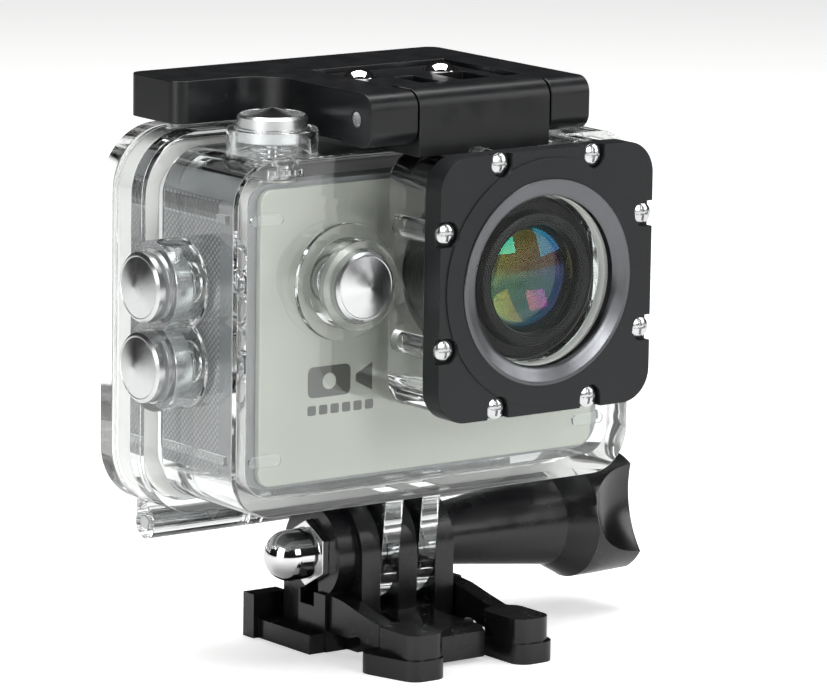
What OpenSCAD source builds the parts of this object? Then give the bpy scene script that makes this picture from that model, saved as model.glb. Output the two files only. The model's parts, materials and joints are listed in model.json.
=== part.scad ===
// Action camera in a clear waterproof housing, held by a thumb screw on a quick-release buckle.
// Millimetres. X runs to the right seen from the front, the lens looks along -Y, Z is up.
// The origin is on the buckle's flat underside, straight below the middle of the clamp screw.

/* [Camera] */
// Width of the camera body
camera_w = 59.3; // [58.5:0.1:60]
// Height of the camera body
camera_h = 41.1; // [40.5:0.1:41.6]
// Height of the camera's centre above the table
camera_z = 46; // [45.9:0.1:46.1]
// Wall of the camera's casing
camera_wall = 1.5; // [1.2:0.1:1.6]

/* [Housing] */
// Wall of the clear housing
wall = 2.5; // [2.4:0.1:2.6]
// Width of the housing's box
box_w = 66; // [65.8:0.1:66.4]
// Height of the housing's box
box_h = 47.8; // [47.6:0.1:48]
// Width of the flange and of the rear door
flange_w = 72; // [71.8:0.1:72.4]
// Height of the flange and of the rear door
flange_h = 52; // [51.9:0.1:52.1]
// Thickness of the rear door
door_t = 3; // [2.6:0.1:3.2]

/* [Lens port] */
// Lens axis to the right of the centre
lens_x = 9; // [8.8:0.1:9.2]
// Lens axis above the table
lens_z = 52.5; // [52.3:0.1:52.6]
// Width of the square bezel
bezel_w = 35.7; // [35.4:0.1:36]
// Radius of the ring round the port glass
ring_r = 14.05; // [13.9:0.05:14.2]
// Radius of the lens barrel's front
barrel_r = 8.55; // [8.3:0.05:8.8]

/* [Buttons] */
// Radius of a button cap
cap_r = 4.7; // [4.5:0.1:4.8]
// Radius of a button stem
stem_r = 1.2; // [1.1:0.05:1.25]

/* [Latch] */
// Top of the latch lever above the table
lever_top = 78.8; // [78.6:0.1:79]
// Radius of the latch's cross pin
latch_pin_r = 1; // [0.9:0.05:1.1]

/* [Clamp] */
// Height of the clamp screw's axis
axis_z = 13.2; // [13.1:0.1:13.3]
// Radius of the clamp fingers
finger_r = 7.5; // [7.3:0.1:7.5]
// Radius of the clamp screw's stud
stud_r = 2.5; // [2.4:0.05:2.55]
// Number of lobes on the thumb knob
lobes = 3; // [3:1:3]

/* [Hidden] */
$fn = 96;
eps = 0.01;
run_fit = 0.05;          // radial clearance of a running fit

// Planes along Y, from the front to the back
bezel_front_y = -25.4;
turret_front_y = -21.9;
box_front_y = -13.3;
face_y = -10.3;          // front of the silver faceplate
face_t = 1;
shell_front_y = face_y + face_t;
back_y = 9.7;            // joint between the camera's casing and its back
camera_rear_y = 11.2;
flange_front_y = 3.8;
flange_rear_y = 11.2;
door_y = flange_rear_y + 0.3;
door_rear_y = door_y + door_t;

// Planes along Z
box_top = camera_z + box_h / 2 + 0.1;
box_bottom = camera_z - box_h / 2 + 0.1;
flange_top = camera_z + flange_h / 2;
flange_bottom = camera_z - flange_h / 2;

// Door hinge
hinge_y = 12.4;
hinge_z = 17.3;
knuckle_r = 2.3;
hinge_pin_r = 0.9;
lug_x = 13;
lug_t = 2;
hinge_half = 30;

// Seal between the housing and the door
seal_w = flange_w - 3.2;
seal_h = flange_h - 3.2;
seal_front_y = 8.2;

// Lens port
glass_r = 13;
glass_front_y = -24;
glass_rear_y = -23.2;
seat_floor_y = -24.3;    // floor of the notch under each screw head
screw_near = 7.83;
screw_far = 16.5;
screw_r = 0.8;
head_r = 1.5;
notch_r = 1.75;
boss_screw_r = 1.7;       // boss behind each screw

// Buttons: [place, rotation that turns +Z outwards, collar height, rim height, gap to camera]
front_button = [[-15.9, box_front_y, 53.06], [90, 0, 0], 4.1, 5.3, 0.5];
top_button = [[-22.8, -6.5, box_top], [0, 0, 0], 3.4, 5.3, 0.95];
up_button = [[-box_w / 2, -0.6, 52.6], [0, -90, 0], 5, 7.1, 0.85];
down_button = [[-box_w / 2, -0.6, 41.8], [0, -90, 0], 5, 7.1, 0.85];
buttons = [front_button, top_button, up_button, down_button];
collar_r = 6.1;
well_r = 5.05;
cap_cone = 0.8;
cap_foot = 1.7;          // height of a cap's lower edge above the wall
clip_r = 2.2;
key_gap = 0.15;
key_proud = 0.2;

// Latch
pin_y = -16.4;
pin_z = 75.2;
lever_bottom = 72.3;
lever_nose_r = lever_top - pin_z;
lever_left = -16.4;
lever_right = 20;
lever_rear = 15.4;
wing_left = -31.2;
wing_bottom = 73;
wing_front = 3.7;
wing_fillet = 5.7;
block_left = -8.5;
block_right = 13.2;
block_front = -20;
block_rear = 3.7;
block_top = 78.9;
panel_top = 78.2;        // the block's top behind its round front
rivet_seat = 78;
side_gap = 0.3;
lip_left = -26;
lip_right = 16;
lip_front = 12.5;
lip_rear = 14;
lip_top = 73.6;
rivet_x = [-4.5, 9.2];
rivet_y = -0.8;

// Clamp fingers along X
finger_gap = 0.05;
inner_x = 1.6;           // housing fingers run from inner_x to outer_x on both sides
outer_x = 4.6;
buckle_side_x = 7.75;
boss_left = -10.9;
boss_r = 6.5;
arm_root_y = -4.2;       // where the spring arms leave the sled
arm_slit = 0.14;
arm_inner_x = 8.4;
arm_outer_x = 11;
pad_inner_x = 5.9;
tongue_half = 3.9;
nut_af = 8;
barrel_start = 7.9;
barrel_end = 28.4;
barrel_end_r = 6.4;
knob_start = 30.4;
knob_end = 40.9;
knob_r = 8.6;
scoop_r = 14;
scoop_away = 18.5;
scoop_turn = 78;         // first scoop faces the front and a little up

// Colours
clear_plastic = [0.88, 0.92, 0.95, 0.35];
black_plastic = "#1b1d1f";
charcoal = "#2d3238";
silver_plate = "#c0c4bb";
steel = "#c9ccd0";
grey_plastic = "#6f7275";

// ---------- helpers ----------

// Rectangle with round corners, centred
module rounded(size, r) {
    square([size[0] - 2 * r, size[1]], center = true);
    square([size[0], size[1] - 2 * r], center = true);
    for (sx = [-1, 1], sy = [-1, 1])
        translate([sx * (size[0] / 2 - r), sy * (size[1] / 2 - r)]) circle(r);
}

// Extrudes an outline drawn as (X, Z) from y0 back to y1
module along_y(y0, y1) translate([0, y1, 0]) rotate([90, 0, 0]) linear_extrude(y1 - y0) children();

// Extrudes an outline drawn as (Y, Z) from x0 to x1
module along_x(x0, x1) translate([x0, 0, 0]) rotate([90, 0, 90]) linear_extrude(x1 - x0) children();

// Box between two corners
module box(a, b) translate(a) cube(b - a);

// Rod along X between x0 and x1
module rod_x(r, x0, x1) translate([x0, 0, 0]) rotate([0, 90, 0]) cylinder(r = r, h = x1 - x0);

// Turns a profile drawn as (radius, distance behind y = 0) about the lens axis
module lens_turn() translate([lens_x, 0, lens_z]) rotate([-90, 0, 0]) rotate_extrude() children();

// Profile of a disc or ring from r0 to r1 between two planes
module ring_profile(r0, r1, y0, y1) translate([r0, y0]) square([r1 - r0, y1 - y0]);

// Puts its children on a button's axis, with z = 0 on the housing's outer face
module at_button(b) translate(b[0]) rotate(b[1]) children();

// Puts its children at each of the eight bezel screws, seen as (X, Z) from the front
module at_bezel_screws()
    for (quarter = [0:3], side = [-1, 1])
        translate([lens_x, 0, lens_z]) rotate([0, 90 * quarter, 0])
            translate([side * screw_near, 0, screw_far]) children();

// ---------- buckle ----------

module finger(r, x0, x1, foot_z) {
    translate([0, 0, axis_z]) rod_x(r, x0, x1);
    box([x0, -r, foot_z], [x1, r, axis_z]);
}

module buckle_base() {
    r = finger_r - 0.1;
    color(black_plastic) difference() {
        union() {
            box([-11.4, arm_root_y, 0], [11.4, 10, 2.7]);               // sled plate
            box([-buckle_side_x, -6.5, 0], [buckle_side_x, arm_root_y, 2.7]);
            for (s = [-1, 1]) sided(s) {
                box([11.4 - eps, -4, 0], [14, 9.5, 2.7]);              // rail
                box([9.4, 8, 0], [14.85, 10.5, 6.2]);                  // rear corner block
                box([7.5, arm_root_y, 2.6], [arm_outer_x + 0.6, 2, 8]); // root of the spring arm
            }
            along_x(-buckle_side_x, buckle_side_x)
                polygon([[-7.2, 0.9], [8.6, 0.9], [7.4, 5.4], [-7.2, 5.4]]);
            along_x(-11.2, 11.2) polygon([[8.8, 2.6], [10.5, 2.6], [10.5, 5.4], [9.6, 5.4]]);
            finger(r, -buckle_side_x, -outer_x - finger_gap, 4);
            finger(r, -inner_x + finger_gap, inner_x - finger_gap, 4);
            finger(r, outer_x + finger_gap, buckle_side_x, 4);
            nut_boss();
            // Tongue between the two spring arms, with a hooked foot at its end
            along_x(-tongue_half, tongue_half) polygon([[-19.7, 0.6], [-17.3, 0.6], [-17.3, 2.2],
                [-7, 2.2], [-7, 5.4], [-9.2, 4.9], [-18.9, 4.9], [-19.7, 4.2]]);
        }
        for (s = [-1, 1]) sided(s)                                     // hollows under the sled
            box([1.6, arm_root_y + 0.8, -1], [8.6, 8.6, 0.8]);
        box([boss_left - 1, -1.6, 6], [-7.2, 1.6, 9.2]);               // square pocket under the nut
        translate([0, 0, axis_z]) {
            rod_x(stud_r + run_fit, -20, 20);
            translate([boss_left - 1, 0, 0]) rotate([0, 90, 0])        // hexagonal nut pocket
                cylinder(d = (nut_af + 0.2) / cos(30), h = 4, $fn = 6);
        }
    }
}

// Round boss that holds the nut, standing on the left side of the sled
module nut_boss() {
    translate([0, 0, axis_z]) rod_x(boss_r, boss_left, -buckle_side_x + eps);
    box([boss_left, arm_root_y, 2.6], [-buckle_side_x + eps, boss_r, axis_z]);
}

// Mirrors its children to the left when s is -1
module sided(s) {
    if (s < 0) mirror([1, 0, 0]) children();
    else children();
}

// Convex outline with round corners; the corners' centres run counter-clockwise
module soft(corners, r) {
    n = len(corners);
    polygon([for (i = [0:n - 1]) let (a = corners[i], d = corners[(i + 1) % n] - a,
        side = [d[1], -d[0]] / norm(d) * r) each [a + side, a + d + side]]);
    for (c = corners) translate(c) circle(r);
}

// Pad at the end of a spring arm, as seen from above: it grows wider towards the back
module pad_plan(front_outer, rear_outer, front, rear) {
    r = 2.2;
    soft([[pad_inner_x + r, front + r], [front_outer - r, front + r], [rear_outer - r, rear - r],
        [pad_inner_x + r, rear - r]], r);
}

// Spring arm: a leg that leaves the sled's shoulder and a stepped finger pad in front
module clip_arm() {
    start = arm_root_y - arm_slit;
    linear_extrude(2.8) pad_plan(12.3, 14, -25, -14.8);
    translate([0, 0, 2.8 - eps]) linear_extrude(3.4) pad_plan(11.9, 11.9, -24.6, -15.6);
    along_x(arm_inner_x, arm_outer_x) difference() {
        polygon([[start, 2.9], [start, 8], [-7.5, 7.7], [-11.5, 6.8], [-15, 6.1], [-18, 6.1], [-18, 2.9]]);
        translate([-10.5, 1.2]) circle(2.4);
    }
}

module clip_arm_left() { color(black_plastic) sided(-1) clip_arm(); }
module clip_arm_right() { color(black_plastic) clip_arm(); }

module acorn_nut() {
    color(steel) translate([0, 0, axis_z]) difference() {
        union() {
            translate([-12, 0, 0]) rotate([0, 90, 0]) cylinder(d = nut_af / cos(30), h = 4, $fn = 6);
            rod_x(3.5, -14.7, -12);
            intersection() {
                translate([-14.7, 0, 0]) sphere(3.5);
                rod_x(4, -20, -14.7);
            }
        }
        rod_x(stud_r + run_fit, -14, 0);
    }
}

module screw_stud() {
    color(steel) translate([0, 0, axis_z]) rod_x(stud_r, -13.6, 24);
}

module screw_knob() {
    color(black_plastic) translate([0, 0, axis_z]) difference() {
        union() {
            translate([barrel_start, 0, 0]) rotate([0, 90, 0])
                cylinder(r1 = 3.95, r2 = barrel_end_r, h = barrel_end - barrel_start);
            translate([barrel_end - eps, 0, 0]) rotate([0, 90, 0])
                cylinder(r1 = barrel_end_r, r2 = knob_r, h = knob_start - barrel_end + 2);
            rod_x(knob_r, knob_start + 1.9, knob_end);
        }
        for (i = [0:lobes - 1]) rotate([scoop_turn + 360 / lobes * i, 0, 0])   // finger scoops
            translate([knob_end + 1, 0, scoop_away]) sphere(scoop_r);
        rod_x(stud_r, 0, 24);
    }
}

// ---------- housing ----------

module housing_shell() {
    color(clear_plastic) difference() {
        union() {
            along_y(box_front_y, flange_front_y + eps) translate([0, camera_z + 0.1])
                rounded([box_w, box_h], 6);
            along_y(flange_front_y, flange_rear_y) translate([0, camera_z])
                rounded([flange_w, flange_h], 8.5);
            along_y(turret_front_y, box_front_y + eps) translate([lens_x, lens_z])
                rounded([34.6, 34.6], 4);
            for (b = buttons) at_button(b) {
                translate([0, 0, -1]) cylinder(r = collar_r, h = b[2] + 1);
            }
            at_button(front_button) cylinder(r = 7.9, h = 0.8);
            at_bezel_screws() rotate([-90, 0, 0]) translate([0, 0, turret_front_y])
                cylinder(r = boss_screw_r, h = 7);
            for (s = [-1, 1]) sided(s) {
                along_x(inner_x, outer_x) polygon([[-finger_r, axis_z], [finger_r, axis_z],
                    [8.6, box_bottom + 1], [-8.6, box_bottom + 1]]);
                translate([0, 0, axis_z]) rod_x(finger_r, inner_x, outer_x);
                hinge_lug();
            }
        }
        // Space for the camera, open at the back, and the wider seat of the seal
        along_y(box_front_y + wall, flange_rear_y + 1) translate([0, camera_z + 0.1])
            rounded([box_w - 2 * wall, box_h - 2 * wall], 3.6);
        along_y(seal_front_y - 0.2, flange_rear_y + 1) translate([0, camera_z])
            rounded([seal_w + 0.6, seal_h + 0.6], 7.2);
        // Inside of the lens turret and its window
        along_y(turret_front_y + wall, box_front_y + wall + eps) translate([lens_x, lens_z])
            rounded([28.6, 28.6], 2);
        lens_turn() ring_profile(0, 11.4, turret_front_y - 1, turret_front_y + wall + 1);
        at_bezel_screws() rotate([-90, 0, 0]) translate([0, 0, turret_front_y - 1])
            cylinder(r = screw_r, h = 7);
        for (b = buttons) at_button(b) button_bore(b);
        translate([0, 0, axis_z]) rod_x(stud_r + run_fit, -20, 20);
        translate([0, hinge_y, hinge_z]) rod_x(hinge_pin_r, -40, 40);
    }
}

// One of the two lugs that carry the door's hinge pin
module hinge_lug() {
    along_x(lug_x - lug_t / 2, lug_x + lug_t / 2) polygon([[7.8, 20.5], [11.2, 20.5], [11.2, 19.7],
        [hinge_y, hinge_z + knuckle_r], [hinge_y, hinge_z - knuckle_r], [10.6, 16]]);
    translate([0, hinge_y, hinge_z]) rod_x(knuckle_r, lug_x - lug_t / 2, lug_x + lug_t / 2);
}

// Well, stem hole, o-ring groove and inner clip pocket of one button
module button_bore(b) {
    cylinder(r = well_r, h = b[3] + 4);
    translate([0, 0, -wall - 3]) cylinder(r = stem_r + run_fit, h = wall + 4);
    translate([0, 0, -1.25]) cylinder(r = 2.15, h = 0.9);
    translate([0, 0, -wall - 1]) cylinder(r = clip_r + 0.6, h = 1.8);
}

module lens_bezel() {
    color(charcoal) difference() {
        union() {
            along_y(bezel_front_y, turret_front_y) translate([lens_x, lens_z])
                rounded([bezel_w, bezel_w], 4.5);
            lens_turn() ring_profile(0, 16.8, bezel_front_y - 0.2, bezel_front_y + 1);
        }
        lens_turn() ring_profile(0, ring_r, bezel_front_y - 1, glass_front_y);
        lens_turn() ring_profile(0, glass_r + run_fit, glass_front_y - eps, turret_front_y + 1);
        at_bezel_screws() {
            rotate([-90, 0, 0]) translate([0, 0, seat_floor_y - 3]) cylinder(r = notch_r, h = 3);
            box([-notch_r, seat_floor_y - 3, 0], [notch_r, seat_floor_y, 3]);
            rotate([-90, 0, 0]) translate([0, 0, -30]) cylinder(r = screw_r, h = 10);
        }
    }
}

module lens_ring() {
    color("#77777a") lens_turn() polygon([[ring_r, glass_front_y], [ring_r, bezel_front_y - 0.4],
        [13.5, bezel_front_y - 0.4], [11.8, glass_front_y - 0.3], [11.5, glass_front_y]]);
}

module bezel_screws() {
    rim_h = 0.45;
    crown_h = 0.4;
    crown_r = (head_r * head_r + crown_h * crown_h) / (2 * crown_h);
    color(steel) at_bezel_screws() rotate([-90, 0, 0]) difference() {
        union() {
            translate([0, 0, seat_floor_y - eps]) cylinder(r = screw_r, h = 7);
            translate([0, 0, seat_floor_y - rim_h]) cylinder(r = head_r, h = rim_h);
            intersection() {
                translate([0, 0, seat_floor_y - rim_h - crown_h + crown_r]) sphere(crown_r);
                translate([0, 0, seat_floor_y - rim_h - crown_h]) cylinder(r = head_r, h = crown_h + eps);
            }
        }
        for (a = [0, 90]) rotate([0, 0, a])                            // cross recess
            translate([-1, -0.19, seat_floor_y - 2]) cube([2, 0.38, 1.6]);
    }
}

module port_glass() {
    color([0.8, 0.9, 0.95, 0.3]) lens_turn()
        ring_profile(0, glass_r, glass_front_y, glass_rear_y);
}

module port_seal() {
    color("#d8d8d4") lens_turn() ring_profile(11.5, glass_r, glass_rear_y, turret_front_y);
}

// ---------- latch ----------

module latch_base() {
    nose = 2.5;
    color(black_plastic) difference() {
        union() {
            along_x(block_left, block_right) {
                polygon([[block_front, box_top], [block_front, block_top - nose],
                    [block_front + nose, block_top], [-14, block_top], [-12, panel_top], [block_rear, panel_top], [block_rear, box_top]]);
                translate([block_front + nose, block_top - nose]) circle(nose);
            }
        }
        box([-0.7, -11, panel_top - 1.4], [2.3, -3.6, block_top + 1]);  // two rectangular pockets
        box([5.8, -11, panel_top - 1.4], [10.8, -3.6, block_top + 1]);
        translate([0, pin_y, pin_z]) rod_x(latch_pin_r, -20, 25);
        at_bezel_screws() rotate([-90, 0, 0])                           // room for a screw boss
            translate([0, 0, turret_front_y - 1]) cylinder(r = boss_screw_r + 0.1, h = 8.1);
        for (x = rivet_x) translate([x, rivet_y, box_top - 1]) cylinder(r = 1.1, h = 12);
        // Flat seats under the two rivet heads
        for (x = rivet_x) translate([x, rivet_y, rivet_seat]) cylinder(r = 2.4, h = 4);
    }
}

module latch_rivets() {
    cap_h = 1.4;
    r = 2.3;
    dome_r = (r * r + cap_h * cap_h) / (2 * cap_h);
    color(steel) for (x = rivet_x) translate([x, rivet_y, rivet_seat]) {
        translate([0, 0, box_top + 0.3 - rivet_seat]) cylinder(r = 1.1, h = rivet_seat - box_top - 0.3 + eps);
        intersection() {
            translate([0, 0, cap_h - dome_r]) sphere(dome_r);
            cylinder(r = r, h = cap_h + 1);
        }
    }
}

module latch_pin() {
    color("#d8d4c4") translate([0, pin_y, pin_z])
        rod_x(latch_pin_r, lever_left + 0.2, lever_right - 0.2);
}

module latch_lever() {
    window_left = block_left - side_gap;
    window_right = block_right + side_gap;
    window_rear = block_rear + 0.6;
    height = lever_top - lever_bottom;
    color(black_plastic) difference() {
        union() {
            translate([0, 0, lever_bottom]) linear_extrude(height) lever_plan();
            along_x(lever_left, lever_right) translate([pin_y, pin_z])
                rounded([2 * lever_nose_r, 2 * lever_nose_r], 2.2);
        }
        box([window_left, -40, 60], [window_right, window_rear, 90]);
        translate([0, pin_y, pin_z]) rod_x(latch_pin_r + run_fit, -20, 25);
        // Groove over the door's lip; the wall behind it is the claw
        box([lip_left - 0.6, lip_front - 0.6, 60], [lip_right + 0.6, lip_rear + 0.3, lip_top + 0.5]);
        box([wing_left - 1, wing_front - 7, 60], [lever_left - 3, 20, wing_bottom]);
        // Hollow under the wing
        box([wing_left + 1.8, wing_front + 1.8, 60], [lever_left - 2, lip_front - 1.8, lever_top - 3]);
    }
}

// Lever seen from above: a frame, a wing to the left and a concave fillet between them
module lever_plan() {
    r = 2;
    translate([lever_left, pin_y]) square([lever_right - lever_left, lever_rear - r - pin_y]);
    translate([wing_left, wing_front + r])
        square([lever_right - wing_left, lever_rear - wing_front - 2 * r]);
    translate([wing_left + r, wing_front])
        square([lever_right - wing_left - 2 * r, lever_rear - wing_front]);
    for (p = [[wing_left + r, wing_front + r], [wing_left + r, lever_rear - r],
              [lever_right - r, lever_rear - r]])
        translate(p) circle(r);
    difference() {
        translate([lever_left - wing_fillet, wing_front - wing_fillet])
            square([wing_fillet + eps, wing_fillet + eps]);
        translate([lever_left - wing_fillet, wing_front - wing_fillet]) circle(wing_fillet);
    }
}

// ---------- rear door ----------

module hinge_pin() {
    color(steel) translate([0, hinge_y, hinge_z]) rod_x(hinge_pin_r, -hinge_half, hinge_half);
}

module rear_door() {
    near = lug_x - lug_t / 2 - 0.2;
    far = lug_x + lug_t / 2 + 0.2;
    color(clear_plastic) difference() {
        union() {
            along_y(door_y, door_rear_y) translate([0, camera_z]) rounded([flange_w, flange_h], 8.5);
            box([lip_left, lip_front, flange_top - 1], [lip_right, lip_rear, lip_top]);
            for (span = [[-hinge_half, -far], [-near, near], [far, hinge_half]]) {
                translate([0, hinge_y, hinge_z]) rod_x(knuckle_r, span[0], span[1]);
                box([span[0], hinge_y - 0.4, hinge_z], [span[1], door_rear_y, flange_bottom + 1]);
            }
        }
        translate([0, hinge_y, hinge_z]) rod_x(hinge_pin_r + run_fit, -40, 40);
    }
}

module door_seal() {
    color("#f2f2ee") along_y(seal_front_y, door_y) translate([0, camera_z]) difference() {
        rounded([seal_w, seal_h], 6.9);
        rounded([seal_w - 5, seal_h - 5], 4.6);
    }
}

// ---------- buttons ----------

module button_orings() {
    color("#303336") for (b = buttons) at_button(b) translate([0, 0, -0.8])
        rotate_extrude() translate([stem_r + run_fit + 0.42, 0]) circle(0.4);
}

module cap(b) {
    color(steel) at_button(b) {
        translate([0, 0, cap_foot]) cylinder(r = cap_r, h = b[3] - cap_foot);
        translate([0, 0, b[3] - eps]) cylinder(r1 = cap_r - 0.25, r2 = 0.3, h = cap_cone);
    }
}

module stem(b) {
    end = wall + b[4] - key_proud - key_gap;
    color(steel) at_button(b) {
        translate([0, 0, -end]) cylinder(r = stem_r, h = end + cap_foot);
        translate([0, 0, -end]) cylinder(r = clip_r, h = 0.6);
    }
}

module spring(b) {
    wire = 0.1;
    coil_r = 3.1;
    turns = 3;
    pitch = (cap_foot - 2 * wire) / (turns - 1);
    color(steel) at_button(b) {
        for (i = [0:turns - 1]) translate([0, 0, wire + pitch * i])
            rotate_extrude() translate([coil_r, 0]) circle(wire);
        for (i = [0:turns - 2]) rotate([0, 0, 137 * i])
            translate([coil_r - 0.08, -0.08, wire + pitch * i]) cube([0.16, 0.16, pitch]);
    }
}

module front_cap() cap(front_button);
module front_stem() stem(front_button);
module front_spring() spring(front_button);
module top_cap() cap(top_button);
module top_stem() stem(top_button);
module top_spring() spring(top_button);
module up_cap() cap(up_button);
module up_stem() stem(up_button);
module up_spring() spring(up_button);
module down_cap() cap(down_button);
module down_stem() stem(down_button);
module down_spring() spring(down_button);

// ---------- camera ----------

// Outline of the camera body, smaller by inset on every side
module camera_outline(inset) translate([0, camera_z])
    rounded([camera_w - 2 * inset, camera_h - 2 * inset], 3.6 - inset);

// Key of the camera under one button, with a flange that keeps it in the casing
module key(b, r) {
    top = -wall - b[4] + key_proud;
    color("#9ea19c") at_button(b) {
        translate([0, 0, top - 2.9]) cylinder(r = r, h = 2.9);
        translate([0, 0, top - 2.9]) cylinder(r = r + 0.8, h = 0.5);
    }
}

module key_hole(b, r) at_button(b) translate([0, 0, -wall - 6]) cylinder(r = r + 0.2, h = 6);

module power_key() key(front_button, 3.2);
module shutter_key() difference() {
    key(top_button, 2.6);
    // Flat on the flange where it meets the camera's front wall
    box([-30, -15, 60], [-15, shell_front_y + 1.2, camera_z + camera_h / 2 - camera_wall - 0.1]);
}
module up_key() key(up_button, 2.6);
module down_key() key(down_button, 2.6);

module camera_shell() {
    color(grey_plastic) difference() {
        along_y(shell_front_y, back_y) camera_outline(0);
        along_y(shell_front_y + 1, back_y + 1) camera_outline(camera_wall);
        grip_panels(0);
        lens_turn() ring_profile(0, 9.8, -20, 0);
        key_hole(front_button, 3.2);
        key_hole(top_button, 2.6);
        key_hole(up_button, 2.6);
        key_hole(down_button, 2.6);
        battery_hatch(0.1);
        card_slot();
    }
}

module camera_back() {
    color("#2a2c2e") difference() {
        along_y(back_y, camera_rear_y) camera_outline(0);
        along_y(back_y - 1, camera_rear_y + 1) translate([0, camera_z]) square([45.2, 31.2], true);
    }
}

module screen() {
    color("#101418") {
        along_y(10.4, camera_rear_y) translate([0, camera_z]) square([45, 31], true);
        along_y(8.9, 10.4 + eps) translate([0, camera_z]) square([42, 28], true);
    }
}

module faceplate() {
    color(silver_plate) difference() {
        along_y(face_y, shell_front_y) translate([0, camera_z]) rounded([56, 40], 2);
        lens_turn() ring_profile(0, 9.8, -20, 0);
        key_hole(front_button, 3.2);
    }
}

// Both textured side panels; they lie in recesses of the casing
module grip_panels(gap) {
    thick = 0.5;
    for (s = [-1, 1]) sided(s)
        along_x(camera_w / 2 - thick + gap, camera_w / 2) translate([1.4, camera_z - 0.3])
            square([15.8 - 2 * gap, 37 - 2 * gap], true);
}

module side_grips() {
    color("#55585b") difference() {
        grip_panels(0);
        key_hole(up_button, 2.6);
        key_hole(down_button, 2.6);
        card_slot();
    }
}

module card_slot() box([13, 4.8, 28.8], [40, 6.2, 40.2]);

module battery_hatch(gap) box([-25 - gap, -5 - gap, camera_z - camera_h / 2 - gap],
    [1 + gap, 7 + gap, camera_z - camera_h / 2 + camera_wall + gap]);

module battery_door() color("#3a3d40") battery_hatch(0);

module battery() color("#26292c") box([-25.2, -4.4, 28], [-1.2, 6.6, 61.5]);

module memory_card() color("#1c1c1e") box([14, 5, 29], [29, 6, 40]);

module main_board() {
    color("#1f5a36") {
        difference() {
            box([-27, 7.4, 28], [27, 8.4, 64]);
            for (x = [-25, 25], z = [30, 62])
                translate([x, 0, z]) rotate([-90, 0, 0]) cylinder(r = 0.9, h = 20);
        }
        box([14, 6.3, 28.5], [27, 7.5, 40.5]);
        box([4, 6.4, 42], [13, 7.5, 49]);
    }
}

module image_sensor() {
    color("#2c3f55") translate([lens_x, 0, lens_z]) {
        box([-7, -0.8, -7], [7, 0.2, 7]);
        box([-3.5, -1.5, -3], [3.5, -0.7, 3]);
        for (sx = [-1, 1], sz = [-1, 1]) translate([sx * 5.8, 0.1, sz * 5.8])
            rotate([-90, 0, 0]) cylinder(r = 0.8, h = 7.3);
    }
}

module lens_barrel() {
    color("#0d0e10") lens_turn() polygon([
        [9.6, -2], [9.6, face_y - 0.05], [11.2, face_y - 0.05], [11.2, -20.9], [10.7, -21.4],
        [9.3, -21.4], [9.1, -22.7], [barrel_r, -23.05], [7.8, -23.05],
        [7.8, -18.6], [6.4, -18.6], [6.4, -12.6], [4.2, -9.4], [3.6, -9.4], [3.6, -2]]);
}

module lens_retainer() {
    color("#1a1b1e") lens_turn() polygon([[7.8, -22.95], [7.8, -21.45], [7.35, -21.45],
        [7.35, -22.4], [7.55, -22.95]]);
}

// Disc with one bulged face; bulge points to the front
module lens_solid(r, bulge, y0, y1) {
    dome_r = (r * r + bulge * bulge) / (2 * bulge);
    translate([lens_x, 0, lens_z]) rotate([-90, 0, 0]) {
        translate([0, 0, y0]) cylinder(r = r, h = y1 - y0);
        intersection() {
            translate([0, 0, y0 - bulge + dome_r]) sphere(dome_r);
            translate([0, 0, y0 - bulge]) cylinder(r = r, h = bulge + eps);
        }
    }
}

module front_element() color([0.3, 0.4, 0.35, 0.5]) lens_solid(7.35, 1.4, -21.45, -18.6);
module rear_element() color([0.4, 0.3, 0.45, 0.5]) lens_solid(3.6, 0.8, -6, -4);
module inner_ring() color("#303238") lens_turn() polygon([[6.4, -18.6], [6.4, -14.2], [4.6, -14.2],
    [6, -18.6]]);

buckle_base();
clip_arm_left();
clip_arm_right();
acorn_nut();
screw_stud();
screw_knob();
housing_shell();
lens_bezel();
lens_ring();
bezel_screws();
port_glass();
port_seal();
latch_base();
latch_rivets();
latch_pin();
latch_lever();
hinge_pin();
rear_door();
door_seal();
button_orings();
front_cap();
front_stem();
front_spring();
top_cap();
top_stem();
top_spring();
up_cap();
up_stem();
up_spring();
down_cap();
down_stem();
down_spring();
camera_shell();
camera_back();
faceplate();
side_grips();
screen();
power_key();
shutter_key();
up_key();
down_key();
lens_barrel();
lens_retainer();
front_element();
inner_ring();
rear_element();
image_sensor();
main_board();
battery();
battery_door();
memory_card();
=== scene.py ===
"""Looks of the action camera in its clear housing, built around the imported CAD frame.

Every length is in millimetres in the classes below and becomes metres where a mesh is made.
X runs to the right seen from the front, the lens looks along -Y and Z is up, as in the CAD.
"""

import json
import logging
import math
from dataclasses import dataclass, field
from enum import Enum
from typing import Any, Callable, Iterable, Optional, Sequence

import bmesh
import bpy
from mathutils import Euler, Matrix, Vector

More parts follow.
